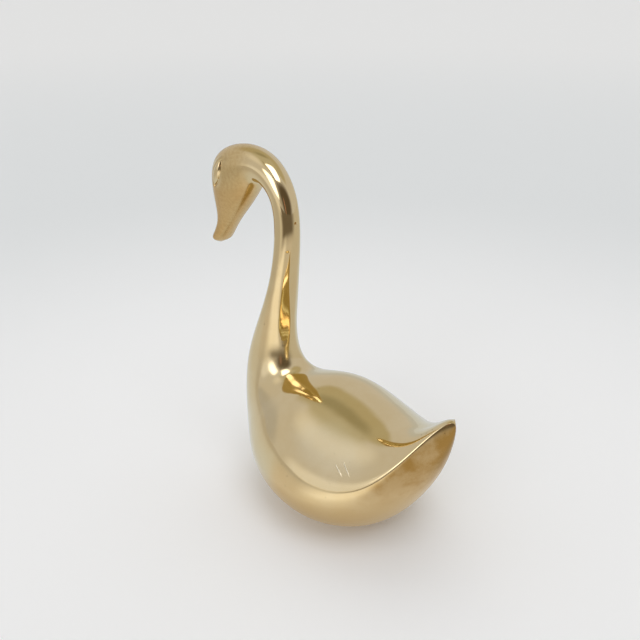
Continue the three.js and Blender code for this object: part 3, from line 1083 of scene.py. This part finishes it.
@dataclass
class Studio:
    """A floor of pale paper in a soft room: two windows, a warm dark side behind the camera, a dim ceiling.

    The floor that the brass mirrors is painted with light and shade. The pairs of the pool of light and of
    the painted contact shadow are where they start and where they are full, in metres from the swan.
    """

    paper_radius: float = 8.0
    # Painted light: the paper is paler close round the swan, as a pool of light
    paper_light_stops: tuple[tuple[float, str], ...] = ((0.04, "#F5F7FD"), (0.2, "#E2E6EC"), (0.8, "#EBEDF2"))
    paper_reach: float = 3.0
    lift: float = 0.05
    backdrop: str = "#E0E2E5"
    lamp_side: Pair = (178, 62)
    lamp_strength: float = 0.4
    lamp_width: float = 50.0
    matt_share: float = 0.93
    mirror_share: float = 0.95
    mirrored: str = "#FFFBF2"
    mirrored_level: float = 0.54
    pool: Pair = (0.5, 0.04)
    # Painted light: the pool of light round the swan, in the floor as the brass mirrors it
    near: str = "#DCD4C7"
    # Painted contact shadow under the swan in the floor as the brass mirrors it, and where it starts and is
    # full
    painted_shadow_reach: Pair = (0.062, 0.022)
    painted_contact_shadow: str = "#B5A791"
    # Painted light and shade on the mirrored floor near the swan
    near_sectors: tuple[FloorSector, ...] = (
        FloorSector(180, (32, 54), (0.04, 0.12), "#D3D9DC"),
        FloorSector(-122, (24, 46), (0.03, 0.06), "#D6DCDF", in_pool=True),
        FloorSector(100, (30, 56), (0.05, 0.1), "#CBC7BC"),
        FloorSector(-25, (12, 40), (0.04, 0.12), "#FFFBF2", 1.1),
    )
    # Painted light and shade on the mirrored floor farther off, with a dark painted shadow towards the camera
    far_sectors: tuple[FloorSector, ...] = (
        FloorSector(12, (34, 74), (0.24, 0.45), "#6A5F4E"),
        FloorSector(-50, (12, 26), (0.9, 1.5), "#FFFBF2", 0.88),
    )
    room: str = "#FFFDFA"
    room_strength: float = 0.64
    patches: tuple[Patch, ...] = (
        Patch(180, -4, 38, 14, "#DDE1E2", 0.8, 0.6, 1.3),
        Patch(-120, 6, 18, 14, "#FFFFFF", 0.52, 0.5, 1.4),
        Patch(-53, 2, 26, 17, "#FFFFFF", 0.86, 0.6, 1.3),
        Patch(150, 66, 50, 24, "#BCB599", 1.0, 0.7, 1.1),
        Patch(0, 89, 30, 30, "#C8C4AF", 0.95, 0.7, 1.15),
        Patch(-177, 67, 14, 8, "#A39D81", 1.0, 0.3, 1.5),
        Patch(-80, 58, 22, 15, "#FFFDF8", 0.8, 0.2, 1.4),
        Patch(28, 14, 42, 38, "#6A5F4E", 0.8, 0.45, 1.15),
        Patch(-16, 8, 9, 8, "#D8CFC0", 0.6, 0.3, 1.5),
        Patch(13, 6, 3.4, 15, "#E3AE92", 0.6, 0.5, 1.2),
    )
    windows: tuple[Patch, ...] = (
        Patch(20, 64, 17, 17, "#FFFFFF", 2.8, 0.88, 1.12, 0.0, Outline.OBLONG),
        Patch(-31, 25, 13, 18, "#FFFFFF", 2.4, 0.85, 1.2, 0.0, Outline.OBLONG),
        Patch(-5, 54, 3, 30, "#8C7F62", 0.8, 0.5, 1.3, 24.0),
    )
    twice: str = "#B1A56E"
    twice_share: float = 0.85
    glints: tuple[Patch, ...] = (
        Patch(33, 12, 3, 34, "#F6FFE8", 1.7, 0.4, 1.3),
        Patch(52, 12, 3, 34, "#F6FFE8", 1.5, 0.4, 1.3),
    )

    def _gilded(self, tree: Tree, once: Any, twice: Any) -> Socket:
        """Parts the light that the brass mirrors once from what it mirrors twice, between neck and back."""
        depth = tree.node("ShaderNodeLightPath").outputs["Glossy Depth"]
        second = tree.ramp(depth, (1.1, 1.9), (0.0, self.twice_share), smooth=False)
        return tree.mix(second, once, twice)

    def _world(self) -> None:
        """Lights the room by direction, and shows the camera plain paper beyond the floor's edge."""
        world = bpy.data.worlds.new("soft_room")
        bpy.context.scene.world = world
        world.use_nodes = True
        tree = Tree(world.node_tree)
        way = tree.node("ShaderNodeTexCoord").outputs["Generated"]
        light: Any = linear(self.room, self.room_strength)[:3]
        for patch in self.patches:
            light = patch.add(tree, way, light)
        twice: Any = linear(self.twice)[:3]
        for glint in self.glints:
            twice = glint.add(tree, way, twice)
        light = self._gilded(tree, light, twice)
        for window in self.windows:
            light = window.add(tree, way, light)
        rays = tree.node("ShaderNodeLightPath").outputs
        level = tree.ramp(rays["Is Diffuse Ray"], (0.0, 1.0), (1.0, self.matt_share), smooth=False)
        lit = tree.node("ShaderNodeBackground", {"Color": light, "Strength": level})
        plain = tree.node("ShaderNodeBackground", {"Color": linear(self.backdrop), "Strength": 1.0})
        tree.end(tree.blend(rays["Is Camera Ray"], lit, plain), "ShaderNodeOutputWorld")

    def _mirrored_floor(self, tree: Tree, place: Socket) -> Socket:
        """The floor as the brass mirrors it, painted: a pool of light round the swan, a contact shadow under
        it, dark at the camera's feet.
        """
        away = tree.vector("LENGTH", place)
        pool, shadow_share = (tree.ramp(away, ends, smooth=False) for ends in (self.pool, self.painted_shadow_reach))
        light = tree.mix(pool, linear(self.mirrored, self.mirrored_level), linear(self.near))
        for sector in self.near_sectors:
            light = sector.add(tree, place, light, pool)
        # Lays the painted contact shadow
        light = tree.mix(shadow_share, light, linear(self.painted_contact_shadow))
        for sector in self.far_sectors:
            light = sector.add(tree, place, light, pool)
        return self._gilded(tree, light, linear(self.twice))

    def _paper_colour_and_light(self, tree: Tree, place: Socket) -> Socket:
        """The paper's colour, painted paler round the swan as a pool of light and a shade greyer farther off.
        """
        shade = tree.ramp(tree.vector("LENGTH", place), (0.0, self.paper_reach), smooth=False)
        colours = tree.node("ShaderNodeValToRGB", {0: shade})
        ramp = colours.color_ramp
        ramp.interpolation = "EASE"
        for position, paper in self.paper_light_stops:
            ramp.elements.new(position).color = linear(paper)
        ramp.elements.remove(ramp.elements[0])
        ramp.elements.remove(ramp.elements[-1])
        return colours.outputs[0]

    def _floor(self) -> None:
        """Lays the paper, matt and pale. From below the camera sees through it."""
        bpy.ops.mesh.primitive_circle_add(vertices=128, radius=self.paper_radius, fill_type="NGON")
        floor = bpy.context.object
        floor.name = "paper_floor"
        material, tree = new_material("matt_paper")
        place = tree.place()
        colour = self._paper_colour_and_light(tree, place)
        rays = tree.node("ShaderNodeLightPath").outputs
        seen = rays["Is Camera Ray"]
        matt = tree.node("ShaderNodeBsdfDiffuse", {"Color": colour})
        # The paper glows with painted light and shade in the rays that the brass mirrors
        glow = tree.node("ShaderNodeEmission", {"Color": self._mirrored_floor(tree, place)})
        paper = tree.blend(tree.product(rays["Is Glossy Ray"], self.mirror_share), matt, glow)
        lift = tree.node("ShaderNodeEmission", {"Color": colour, "Strength": tree.product(seen, self.lift)})
        paper = tree.node("ShaderNodeAddShader", {0: paper.outputs[0], 1: lift.outputs[0]})
        below = tree.node("ShaderNodeNewGeometry").outputs["Backfacing"]
        clear = tree.node("ShaderNodeBsdfTransparent")
        tree.end(tree.blend(tree.product(below, seen), paper, clear))
        floor.data.materials.append(material)

    def _lamp(self) -> None:
        """Hangs a wide lamp behind the swan, which throws its shadow forwards and isn't mirrored."""
        data = bpy.data.lights.new("wide_lamp", "SUN")
        data.energy = self.lamp_strength
        data.angle = math.radians(self.lamp_width)
        lamp = add_object("wide_lamp", data)
        lamp.rotation_euler = direction(*self.lamp_side).to_track_quat("Z", "Y").to_euler()
        lamp.visible_glossy = False

    def build(self) -> None:
        """Sets up the room's light and the paper."""
        self._world()
        self._lamp()
        self._floor()
        bpy.context.scene.view_settings.view_transform = "Standard"
        log.info("studio: %d patches of light", len(self.patches))


@dataclass(frozen=True)
class PhotoCamera:
    """The phototree's camera: behind the swan on its left, looking down at it."""

    azimuth: float = 45.0
    elevation: float = 24.5
    distance: float = 376.7
    lens: float = 45.0
    target_forward: float = 15.1
    target_height: float = 95.1

    def build(self) -> None:
        """Places the camera."""
        target = Vector((0, -self.target_forward, self.target_height)) * MM
        back = direction(0, self.elevation)
        data = bpy.data.cameras.new("photo_camera")
        data.lens = self.lens
        data.sensor_width = 36.0
        data.clip_start = 0.01
        camera = add_object("photo_camera", data)
        camera.location = target + back * self.distance * MM
        camera.rotation_euler = (-back).to_track_quat("-Z", "Y").to_euler()
        bpy.context.scene.camera = camera


def main() -> None:
    """Builds the swan's pieces, the studio and the camera."""
    logging.basicConfig(level=logging.INFO, format="%(name)s: %(message)s")
    casting = BrassCasting()
    casting.dress(casting.build(), PolishedBrass().material())
    plug = BasePlug()
    plug.dress(plug.build(), TurnedBrass().material())
    pad = FeltPad()
    pad.dress(pad.build(), WoolFelt().material())
    Studio().build()
    PhotoCamera().build()


if __name__ == "__main__":
    main()
